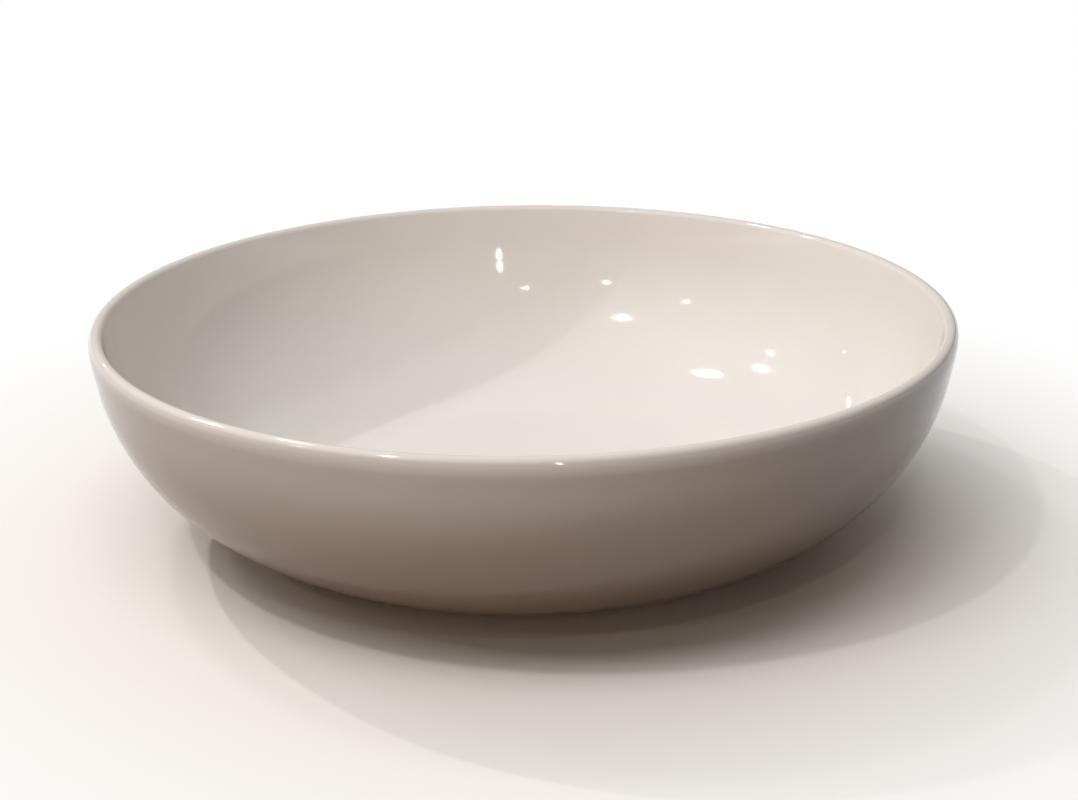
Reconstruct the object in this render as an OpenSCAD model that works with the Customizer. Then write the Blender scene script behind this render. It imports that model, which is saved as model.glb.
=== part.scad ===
// Round porcelain serving bowl: one fired clay body on a foot ring, under a coat of bright glaze.
// The origin is on the axis, in the plane of the foot ring's standing face, with +Z up.

/* [Bowl] */
// Diameter over the lip
rim_d = 280; // [220:1:340]
// Height from the standing face to the top of the lip
bowl_h = 73; // [60:1:95]
// Thickness of the wall and floor, glaze included
wall_t = 4.8; // [3.6:0.1:7]
// Outer radius of the belly, the round between the floor and the wall
belly_r = 68; // [40:1:74]
// Lean of the upper wall out from upright, in degrees
wall_lean = 9; // [0:0.5:15]

/* [Foot ring] */
// Distance that the foot ring stands in from the start of the belly's round
foot_inset = 3.2; // [1.6:0.1:30]
// Width of the bare foot ring
foot_w = 6; // [4:0.5:12]
// Height of the foot ring below the bowl's underside
foot_h = 3; // [2.6:0.1:6]
// Round on the two edges of the standing face
foot_round = 1; // [0.4:0.1:1.2]
// Fillet between the bare foot ring and the body's underside
foot_fillet = 1.2; // [0.8:0.1:1.4]

/* [Glaze] */
// Thickness of the glaze
glaze_t = 0.4; // [0.2:0.05:0.6]
// Height of the foot ring that is wiped bare of glaze
bare_h = 1.3; // [1.2:0.1:1.7]

/* [Hidden] */
$fn = 180;

body_colour = "#ddd3c4";
glaze_colour = "#e6dfd6";

// A round stands this much proud of the straight face that it runs into, so that the two cross cleanly
meet = 0.002;

// The lip is a full round on top of the wall
lip_r = wall_t / 2;
lip_c = [rim_d / 2 - lip_r, bowl_h - lip_r];

// The wall leans out along wall_up, and its outer face looks along wall_normal
wall_up = [sin(wall_lean), cos(wall_lean)];
wall_normal = [cos(wall_lean), -sin(wall_lean)];

// The belly leaves at least a wall thickness of straight wall under the lip
belly_room = (lip_c.y - foot_h - lip_r * wall_up.x) / (1 - wall_up.x) - wall_t;
belly = min(belly_r, belly_room);

// The belly's centre is one radius up from the underside and one in from the wall's outer face
belly_z = foot_h + belly;
flat_r = lip_c.x + (lip_r - belly + (belly_z - lip_c.y) * wall_up.x) / wall_up.y;
belly_c = [flat_r, belly_z];

// The foot ring stands under the flat of the floor, on a radius to the nearest tenth of a millimetre
foot_step = 0.1;
foot_out = foot_step * round((flat_r - foot_inset) / foot_step);
foot_in = foot_out - foot_w;
foot_mid = (foot_in + foot_out) / 2;
floor_mid = foot_h + lip_r;

// Half-section filled to a face that lies the given depth in from the finished outside
module dish_half(depth) {
    round_r = belly - depth;
    flat_z = foot_h + depth + meet;
    wall_foot = belly_c + (round_r - meet) * wall_normal;
    wall_top = wall_foot + bowl_h * wall_up;
    translate(belly_c)
        circle(r = round_r);
    polygon([[0, flat_z], [flat_r, flat_z], wall_foot, wall_top, [0, wall_top.y]]);
}

// All that lies below the line across the wall through the middle of the lip
module under_lip_half() {
    slope = tan(wall_lean);
    right_y = lip_c.y - (rim_d - lip_c.x) * slope;
    left_y = lip_c.y + lip_c.x * slope;
    polygon([[0, 0], [rim_d, 0], [rim_d, right_y], [0, left_y]]);
}

// Hollow fillet under a ceiling at y = 0 and right of a wall at x = 0
module corner_fillet(r) {
    difference() {
        translate([-r, -r])
            square(2 * r);
        translate([r - meet, 2 * meet - r])
            circle(r = r);
    }
}

// Foot ring, widened by its glaze where the skin is less than the glaze
module foot_half(skin) {
    grow = glaze_t - skin;
    fillet = foot_fillet - grow;
    underside = foot_h + skin;
    translate([foot_in - grow, foot_round])
        square([foot_w + 2 * grow, floor_mid - foot_round]);
    translate([foot_in + foot_round, 0])
        square([foot_w - 2 * foot_round, floor_mid]);
    for (edge = [foot_in + foot_round, foot_out - foot_round])
        translate([edge, foot_round])
            circle(r = foot_round);
    translate([foot_out + grow, underside])
        corner_fillet(fillet);
    translate([foot_in - grow, underside])
        mirror([1, 0])
            corner_fillet(fillet);
}

// Half-section of the bowl, drawn in from its finished faces by the skin
module bowl_half(skin) {
    difference() {
        intersection() {
            dish_half(skin);
            under_lip_half();
        }
        dish_half(wall_t - skin - 2 * meet);
    }
    translate(lip_c)
        rotate(-90)
            circle(r = lip_r - skin);
    foot_half(skin);
}

// Half-section of all the glaze, from the bare band on the foot ring up
module glaze_half() {
    difference() {
        bowl_half(0);
        bowl_half(glaze_t);
        square([rim_d, bare_h]);
    }
}

// Space under the floor, out to the middle of the foot ring
module well_half() {
    square([foot_mid, floor_mid]);
}

// Fired clay body: floor, belly, wall, lip and foot ring in one piece
module porcelain_body() {
    color(body_colour)
        rotate_extrude()
            bowl_half(glaze_t);
}

// Glaze over the inside, the lip and the outside, down to the bare band on the foot ring
module glaze_coat() {
    color(glaze_colour)
        rotate_extrude()
            difference() {
                glaze_half();
                well_half();
            }
}

// Glaze on the underside within the foot ring
module foot_well_glaze() {
    color(glaze_colour)
        rotate_extrude()
            intersection() {
                glaze_half();
                well_half();
            }
}

porcelain_body();
glaze_coat();
foot_well_glaze();
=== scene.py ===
import math

import bmesh
import bpy
from mathutils import Matrix, Vector


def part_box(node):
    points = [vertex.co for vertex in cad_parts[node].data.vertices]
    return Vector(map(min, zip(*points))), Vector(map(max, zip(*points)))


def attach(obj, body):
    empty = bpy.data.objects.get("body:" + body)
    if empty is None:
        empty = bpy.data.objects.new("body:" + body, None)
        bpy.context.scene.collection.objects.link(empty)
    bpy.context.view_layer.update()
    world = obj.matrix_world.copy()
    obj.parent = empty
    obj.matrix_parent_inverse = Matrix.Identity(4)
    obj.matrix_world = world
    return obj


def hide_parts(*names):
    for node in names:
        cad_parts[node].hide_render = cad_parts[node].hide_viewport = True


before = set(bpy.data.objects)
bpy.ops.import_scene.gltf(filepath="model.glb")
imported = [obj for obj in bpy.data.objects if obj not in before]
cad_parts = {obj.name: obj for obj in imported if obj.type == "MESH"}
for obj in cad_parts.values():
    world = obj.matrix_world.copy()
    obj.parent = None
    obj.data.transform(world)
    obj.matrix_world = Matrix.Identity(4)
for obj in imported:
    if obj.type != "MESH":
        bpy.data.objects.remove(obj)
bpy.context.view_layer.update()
scene = bpy.context.scene


# Fired clay body. Jiggered in one piece from white porcelain: floor, belly, wall, lip and turned foot ring.
# All of it lies under the glaze but the lowest band of the foot ring, which was wiped clean before the
# firing, so that the bowl would not stick to the kiln shelf.
mm = 0.001
rim_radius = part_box("glaze_coat")[1].x
bowl_height = 73.0 * mm
wall = 4.8 * mm
belly = 68.0 * mm
lean = math.radians(9.0)
glaze = 0.4 * mm
foot_height = 3.0 * mm
foot_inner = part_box("foot_well_glaze")[1].x
foot_width = 6.0 * mm
foot_outer = foot_inner + foot_width
foot_round = 1.0 * mm
foot_fillet = 1.2 * mm
bare_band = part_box("glaze_coat")[0].z

lip = wall / 2
lip_centre = Vector((rim_radius - lip, 0, bowl_height - lip))
wall_face = Vector((math.cos(lean), 0, -math.sin(lean)))
belly_height = foot_height + belly
belly_reach = lip - belly + (belly_height - lip_centre.z) * math.sin(lean)
belly_centre = Vector((lip_centre.x + belly_reach / math.cos(lean), 0, belly_height))

# The lip's outer shoulder, from the wall up: the radius of each round and the degrees that it turns
shoulder_rounds = ((14.0 * mm, 13.0), (5.0 * mm, 16.0))

around = 288
belly_steps = 44
edge_steps = 8
least_lip_steps = 4
lip_step_degrees = 6
weld = 0.002 * mm


def lip_face(turn):
    """Gives the way that the lip looks, some degrees on from the wall's outer face."""
    angle = math.radians(turn) - lean
    return Vector((math.cos(angle), 0, math.sin(angle)))


crest_start, drawn_in = 0.0, 0.0
for radius, turn in shoulder_rounds:
    crest_end = crest_start + turn
    drawn_in += radius * (math.cos(math.radians(crest_start)) - math.cos(math.radians(crest_end)))
    crest_start = crest_end
crest = (wall - drawn_in) / (1 + math.cos(math.radians(crest_start)))
crest_reach = (crest - lip) * (1 - math.sin(lean)) / math.cos(lean)
arc_centre = Vector((lip_centre.x + crest_reach, 0, bowl_height - crest))
arc_radius = crest
arc_start = crest_start
lip_arcs = [(arc_centre, arc_radius, 180 - crest_start)]
for radius, turn in reversed(shoulder_rounds):
    arc_centre = arc_centre - (radius - arc_radius) * lip_face(arc_start)
    arc_radius = radius
    arc_start -= turn
    lip_arcs.insert(0, (arc_centre, arc_radius, turn))


def line_to(bm, pen, r, z):
    """Draws the section on, straight to a radius and a height."""
    pen = bmesh.ops.extrude_vert_indiv(bm, verts=[pen])["verts"][0]
    pen.co = (r, 0, z)
    return pen


def arc_about(bm, pen, centre, degrees, steps):
    """Draws the section on, round a centre, with a positive turn running from +X up to +Z."""
    angle = -math.radians(degrees)
    arc = bmesh.ops.spin(bm, geom=[pen], cent=centre, axis=(0, 1, 0), angle=angle, steps=steps)
    return next(v for v in arc["geom_last"] if isinstance(v, bmesh.types.BMVert))


def draw_bowl_side(bm, pen, skin):
    """Draws from the underside round the belly, up the wall, over the lip and down to the floor's middle."""
    belly_turn = 90 - math.degrees(lean)
    pen = line_to(bm, pen, belly_centre.x, foot_height + skin)
    pen = arc_about(bm, pen, belly_centre, belly_turn, belly_steps)
    shoulder_centre, shoulder_radius, _ = lip_arcs[0]
    wall_top = shoulder_centre + (shoulder_radius - skin) * wall_face
    pen = line_to(bm, pen, wall_top.x, wall_top.z)
    for centre, _, turn in lip_arcs:
        pen = arc_about(bm, pen, centre, turn, least_lip_steps + int(turn / lip_step_degrees))
    inside = wall - skin
    wall_foot = belly_centre + (belly - inside) * wall_face
    pen = line_to(bm, pen, wall_foot.x, wall_foot.z)
    pen = arc_about(bm, pen, belly_centre, -belly_turn, belly_steps)
    return line_to(bm, pen, 0, foot_height + inside)


def turned_piece(name, bm):
    """Spins a drawn section into a closed piece about the bowl's axis, smooth shaded, riding on the bowl."""
    section = bm.verts[:] + bm.edges[:]
    bmesh.ops.spin(bm, geom=section, axis=(0, 0, 1), angle=math.tau, steps=around, use_merge=True)
    bmesh.ops.remove_doubles(bm, verts=bm.verts, dist=weld)
    bmesh.ops.recalc_face_normals(bm, faces=bm.faces)
    for face in bm.faces:
        face.smooth = True
    mesh = bpy.data.meshes.new(name)
    bm.to_mesh(mesh)
    bm.free()
    piece = bpy.data.objects.new(name, mesh)
    scene.collection.objects.link(piece)
    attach(piece, "root")
    return piece


bm = bmesh.new()
underside = foot_height + glaze
fillet_height = underside - foot_fillet
pen = bm.verts.new((0, 0, underside))
pen = line_to(bm, pen, foot_inner - foot_fillet, underside)
pen = arc_about(bm, pen, (foot_inner - foot_fillet, 0, fillet_height), -90, edge_steps)
pen = line_to(bm, pen, foot_inner, foot_round)
pen = arc_about(bm, pen, (foot_inner + foot_round, 0, foot_round), 90, edge_steps)
pen = line_to(bm, pen, foot_outer - foot_round, 0)
pen = arc_about(bm, pen, (foot_outer - foot_round, 0, foot_round), 90, edge_steps)
pen = line_to(bm, pen, foot_outer, fillet_height)
pen = arc_about(bm, pen, (foot_outer + foot_fillet, 0, fillet_height), -90, edge_steps)
draw_bowl_side(bm, pen, glaze)
clay_body = turned_piece("clay_body", bm)
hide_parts("porcelain_body")


# Bisque of the bare foot band: high-fired porcelain with no glaze, turned and then sponged smooth.
# It is dull and a shade creamier than the glaze, with a fine tooth, and grey where use has rubbed the ring.
def srgb(hex_code):
    """Turns an sRGB hex colour into the linear RGBA that the shaders use."""
    parts = [int(hex_code[i:i + 2], 16) / 255 for i in (1, 3, 5)]
    return tuple(c / 12.92 if c <= 0.04045 else ((c + 0.055) / 1.055) ** 2.4 for c in parts) + (1.0,)


def node(tree, kind, settings=(), **links):
    """Adds a shader node with its settings, and links or sets its inputs by name, _ standing for a space."""
    made = tree.nodes.new(kind)
    for key, value in dict(settings).items():
        setattr(made, key, value)
    for key, value in links.items():
        socket = made.inputs[int(key[1:])] if key[1:].isdigit() else made.inputs[key.replace("_", " ")]
        if isinstance(value, bpy.types.NodeSocket):
            tree.links.new(value, socket)
        else:
            socket.default_value = value
    return made


def new_material(name):
    """Starts an empty material and gives it with its node tree and its output."""
    material = bpy.data.materials.new(name)
    material.use_nodes = True
    material.node_tree.nodes.clear()
    return material, material.node_tree, material.node_tree.nodes.new("ShaderNodeOutputMaterial")


tooth_mm = 0.5
tooth_depth = 0.04 * mm
rub_mm = 7.0
rub_height = 0.7 * mm
bisque, tree, out = new_material("sponged_bisque")
place = node(tree, "ShaderNodeTexCoord").outputs["Object"]
tooth = node(tree, "ShaderNodeTexNoise", Vector=place, Scale=1000 / tooth_mm, Detail=3.0, Roughness=0.6)
rub = node(tree, "ShaderNodeTexNoise", Vector=place, Scale=1000 / rub_mm, Detail=4.0, Roughness=0.65)
height = node(tree, "ShaderNodeSeparateXYZ", Vector=place).outputs["Z"]
rub_low = node(tree, "ShaderNodeMapRange", _0=height, _1=0.0, _2=rub_height, _3=1.0, _4=0.0)
rub_patch = node(tree, "ShaderNodeMapRange", _0=rub.outputs[0], _1=0.48, _2=0.66, _3=0.0, _4=0.55)
rub_mask = node(
    tree, "ShaderNodeMath", {"operation": "MULTIPLY"},
    _0=rub_low.outputs[0], _1=rub_patch.outputs[0],
)
clay = node(
    tree, "ShaderNodeMix", {"data_type": "RGBA"},
    _0=tooth.outputs[0], _6=srgb("#d6cbbb"), _7=srgb("#e4dacb"),
)
rubbed = node(
    tree, "ShaderNodeMix", {"data_type": "RGBA"},
    _0=rub_mask.outputs[0], _6=clay.outputs[2], _7=srgb("#a39c93"),
)
grain = node(tree, "ShaderNodeBump", Strength=0.5, Distance=tooth_depth, Height=tooth.outputs[0])
bisque_skin = node(
    tree, "ShaderNodeBsdfPrincipled",
    Base_Color=rubbed.outputs[2], Roughness=0.78, IOR=1.5, Normal=grain.outputs[0],
)
tree.links.new(bisque_skin.outputs[0], out.inputs["Surface"])
clay_body.data.materials.append(bisque)


# Main glaze. One glass coat over the inside, the lip and the outside, poured on and fired.
# It ends in a soft rolled edge just above the standing face, where the sponge wiped it away.
bm = bmesh.new()
edge_round = glaze / 2
edge_height = bare_band + edge_round
outer_fillet = foot_fillet - glaze
outer_fillet_height = foot_height - outer_fillet
pen = bm.verts.new((foot_outer, 0, fillet_height))
pen = line_to(bm, pen, foot_outer, edge_height)
pen = arc_about(bm, pen, (foot_outer + edge_round, 0, edge_height), 180, edge_steps)
pen = line_to(bm, pen, foot_outer + glaze, outer_fillet_height)
pen = arc_about(bm, pen, (foot_outer + foot_fillet, 0, outer_fillet_height), -90, edge_steps)
draw_bowl_side(bm, pen, 0)
back = bm.verts.new((foot_outer, 0, fillet_height))
back = arc_about(bm, back, (foot_outer + foot_fillet, 0, fillet_height), -90, edge_steps)
draw_bowl_side(bm, back, glaze)
bmesh.ops.remove_doubles(bm, verts=bm.verts, dist=weld)
main_glaze = turned_piece("main_glaze", bm)
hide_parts("glaze_coat")


# Bright warm-white glaze, fired to a smooth glass: sharp lamp glints, softly bent by the slow ripple of the
# poured coat. It thins on the lip, where the cream of the clay comes through, and its tone drifts a little
# over the bowl.
drift_mm = 55.0
ripple_mm = 26.0
ripple_depth = 0.05 * mm
peel_mm = 2.4
peel_depth = 0.0012 * mm
thin_depth = 1.2 * mm
white_glaze, tree, out = new_material("warm_white_glaze")
place = node(tree, "ShaderNodeTexCoord").outputs["Object"]
drift = node(tree, "ShaderNodeTexNoise", Vector=place, Scale=1000 / drift_mm, Detail=3.0)
ripple = node(tree, "ShaderNodeTexNoise", Vector=place, Scale=1000 / ripple_mm, Detail=1.0)
peel = node(tree, "ShaderNodeTexNoise", Vector=place, Scale=1000 / peel_mm, Detail=2.0)
height = node(tree, "ShaderNodeSeparateXYZ", Vector=place).outputs["Z"]
thin_lip = node(
    tree, "ShaderNodeMapRange", {"interpolation_type": "SMOOTHSTEP"},
    _0=height, _1=bowl_height - thin_depth, _2=bowl_height, _3=0.0, _4=0.35,
)
coat = node(
    tree, "ShaderNodeMix", {"data_type": "RGBA"},
    _0=drift.outputs[0], _6=srgb("#e3ddd7"), _7=srgb("#ebe6e1"),
)
lip_tone = node(
    tree, "ShaderNodeMix", {"data_type": "RGBA"},
    _0=thin_lip.outputs[0], _6=coat.outputs[2], _7=srgb("#d8cdbf"),
)
gloss = node(tree, "ShaderNodeMapRange", _0=drift.outputs[0], _1=0.3, _2=0.7, _3=0.05, _4=0.075)
slow = node(tree, "ShaderNodeBump", Strength=1.0, Distance=ripple_depth, Height=ripple.outputs[0])
fine = node(
    tree, "ShaderNodeBump",
    Strength=1.0, Distance=peel_depth, Height=peel.outputs[0], Normal=slow.outputs[0],
)
glaze_skin = node(
    tree, "ShaderNodeBsdfPrincipled",
    Base_Color=lip_tone.outputs[2], Roughness=gloss.outputs[0], IOR=1.52, Normal=fine.outputs[0],
)
tree.links.new(glaze_skin.outputs[0], out.inputs["Surface"])
main_glaze.data.materials.append(white_glaze)


# Glaze in the foot well. The same coat, left as a round patch on the underside within the foot ring,
# and cut off from the rest where the ring was wiped bare.
bm = bmesh.new()
pen = bm.verts.new((0, 0, foot_height))
pen = line_to(bm, pen, foot_inner - foot_fillet, foot_height)
pen = arc_about(bm, pen, (foot_inner - foot_fillet, 0, outer_fillet_height), -90, edge_steps)
pen = line_to(bm, pen, foot_inner - glaze, edge_height)
pen = arc_about(bm, pen, (foot_inner - edge_round, 0, edge_height), 180, edge_steps)
pen = line_to(bm, pen, foot_inner, fillet_height)
pen = arc_about(bm, pen, (foot_inner - foot_fillet, 0, fillet_height), 90, edge_steps)
line_to(bm, pen, 0, underside)
well_glaze = turned_piece("foot_well_patch", bm)
well_glaze.data.materials.append(white_glaze)
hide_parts("foot_well_glaze")


# Floor. A wide pale sheet that holds the bowl's shadow close in and runs out to white.
# The light that it throws back up is held to a dim brown, so that the belly darkens warmly to the foot.
floor_half = 6.0
shade_from, shade_to = 0.10, 0.30
bm = bmesh.new()
bmesh.ops.create_grid(bm, x_segments=1, y_segments=1, size=floor_half)
mesh = bpy.data.meshes.new("floor")
bm.to_mesh(mesh)
bm.free()
floor = bpy.data.objects.new("floor", mesh)
scene.collection.objects.link(floor)


def in_sight(tree):
    """Gives 1 for what the camera sees, straight, mirrored or through glass, and 0 for other light."""
    path = node(tree, "ShaderNodeLightPath").outputs
    mirrored = node(
        tree, "ShaderNodeMath", {"operation": "MAXIMUM"},
        _0=path["Is Glossy Ray"], _1=path["Is Transmission Ray"],
    )
    seen = node(
        tree, "ShaderNodeMath", {"operation": "MAXIMUM"},
        _0=path["Is Camera Ray"], _1=mirrored.outputs[0],
    )
    return seen.outputs[0]


paper, tree, out = new_material("pale_paper_floor")
place = node(tree, "ShaderNodeTexCoord").outputs["Object"]
reach = node(tree, "ShaderNodeVectorMath", {"operation": "LENGTH"}, _0=place)
far = node(
    tree, "ShaderNodeMapRange", {"interpolation_type": "SMOOTHSTEP"},
    _0=reach.outputs["Value"], _1=shade_from, _2=shade_to, _3=0.0, _4=1.0,
)
sheet = node(tree, "ShaderNodeBsdfDiffuse", Color=srgb("#efe9e2"))
white = node(tree, "ShaderNodeEmission", Color=srgb("#ffffff"), Strength=1.0)
shown = node(tree, "ShaderNodeMixShader", _0=far.outputs[0], _1=sheet.outputs[0], _2=white.outputs[0])
bounce = node(tree, "ShaderNodeBsdfDiffuse", Color=srgb("#4a3222"))
both = node(tree, "ShaderNodeMixShader", _0=in_sight(tree), _1=bounce.outputs[0], _2=shown.outputs[0])
tree.links.new(both.outputs[0], out.inputs["Surface"])
floor.data.materials.append(paper)


# Light. A soft glow high at the back, over a white rim along the horizon that only the eye and mirrors see.
# Soft boxes in front and at the right stay out of the glaze, and small bright lamps show in it as glints.
hung_at = 1.8
bowl_middle = Vector((0, 0, bowl_height / 2))
glow_least, glow_most = 0.01, 0.34
white_up_to, white_ends_at = math.radians(1.5), math.radians(4.0)
soft_width = 0.9


def towards(azimuth, elevation):
    """Gives the direction at an azimuth (0 away from the camera, + right) and an elevation, in degrees."""
    turn, rise = math.radians(azimuth), math.radians(elevation)
    return Vector((math.sin(turn) * math.cos(rise), math.cos(turn) * math.cos(rise), math.sin(rise)))


def lamp(name, direction, width, level, tint="#ffffff", stretch=1.0):
    """Hangs a round lamp that faces the bowl; alone, it lights a white card that faces it to the level."""
    light = bpy.data.lights.new(name, "AREA")
    light.shape = "ELLIPSE"
    light.size = width
    light.size_y = width * stretch
    light.energy = level * (math.pi * hung_at) ** 2
    light.color = srgb(tint)[:3]
    holder = bpy.data.objects.new(name, light)
    holder.location = bowl_middle + hung_at * direction
    holder.rotation_euler = direction.to_track_quat("Z", "Y").to_euler()
    scene.collection.objects.link(holder)
    return holder


world = bpy.data.worlds.new("back_glow")
scene.world = world
world.use_nodes = True
tree = world.node_tree
tree.nodes.clear()
out = tree.nodes.new("ShaderNodeOutputWorld")
look = node(tree, "ShaderNodeTexCoord").outputs["Generated"]
nearness = node(tree, "ShaderNodeVectorMath", {"operation": "DOT_PRODUCT"}, _0=look, _1=towards(-20, 45))
glow = node(
    tree, "ShaderNodeMapRange", {"interpolation_type": "SMOOTHSTEP"},
    _0=nearness.outputs["Value"], _1=0.0, _2=1.0, _3=glow_least, _4=glow_most,
)
rise = node(tree, "ShaderNodeSeparateXYZ", Vector=look).outputs["Z"]
backdrop = node(
    tree, "ShaderNodeMapRange", {"interpolation_type": "SMOOTHSTEP"},
    _0=rise, _1=math.sin(white_up_to), _2=math.sin(white_ends_at), _3=1.0, _4=0.0,
)
backdrop_seen = node(
    tree, "ShaderNodeMath", {"operation": "MULTIPLY"},
    _0=backdrop.outputs[0], _1=in_sight(tree),
)
strength = node(tree, "ShaderNodeMix", _0=backdrop_seen.outputs[0], _2=glow.outputs[0], _3=1.0)
sky = node(tree, "ShaderNodeBackground", Color=srgb("#ffffff"), Strength=strength.outputs[0])
tree.links.new(sky.outputs[0], out.inputs["Surface"])

for soft_box in (
    lamp("main_soft_box", towards(-132, 57), soft_width, 0.28),
    lamp("front_soft_box", towards(180, 70), soft_width, 0.185),
    lamp("right_soft_box", towards(40, 25), soft_width, 0.06, "#ffdcb4"),
    lamp("low_warm_box", towards(-150, 15), soft_width, 0.105, "#ffc886"),
):
    soft_box.visible_glossy = False

lamp("main_glint", towards(-132, 57.5), 0.065, 0.13)
lamp("back_left_glint", towards(-57.5, 46), 0.035, 0.185)
lamp("wide_back_left_glint", towards(-49.5, 57.5), 0.145, 0.085)
lamp("left_glint", towards(-68, 41), 0.035, 0.03)
lamp("low_left_glint", towards(-117, 38), 0.042, 0.025)
lamp("front_left_glint", towards(-150, 35), 0.045, 0.018)
lamp("front_glint", towards(-179, 42), 0.05, 0.027)
lamp("upper_pair_glint", towards(172, 26), 0.042, 0.027, stretch=6.0)
lamp("lower_pair_glint", towards(172, 17), 0.042, 0.027, stretch=6.0)
lamp("far_back_upper_glint", towards(-53, 19), 0.032, 0.0015)
lamp("far_back_lower_glint", towards(-32, 22), 0.14, 0.0025, stretch=0.17)


# Camera. A short telephoto a little over half a metre away, looking down over the near side of the rim,
# and level to within a degree.
view_from = Vector((0, -0.5673, 0.2421))
view_at = Vector((0.0047, 0, 0.0393))
tilt = math.radians(0.555)
picture_width_pixels, focal_pixels = 1078, 1800
sensor_width = 36.0
camera = bpy.data.cameras.new("camera")
camera.sensor_fit = "HORIZONTAL"
camera.sensor_width = sensor_width
camera.lens = focal_pixels / picture_width_pixels * sensor_width
camera.clip_start = 0.01
holder = bpy.data.objects.new("camera", camera)
aim = (view_at - view_from).to_track_quat("-Z", "Y").to_matrix().to_4x4()
holder.matrix_world = Matrix.Translation(view_from) @ aim @ Matrix.Rotation(-tilt, 4, "Z")
scene.collection.objects.link(holder)
scene.camera = holder

scene.view_settings.view_transform = "Standard"
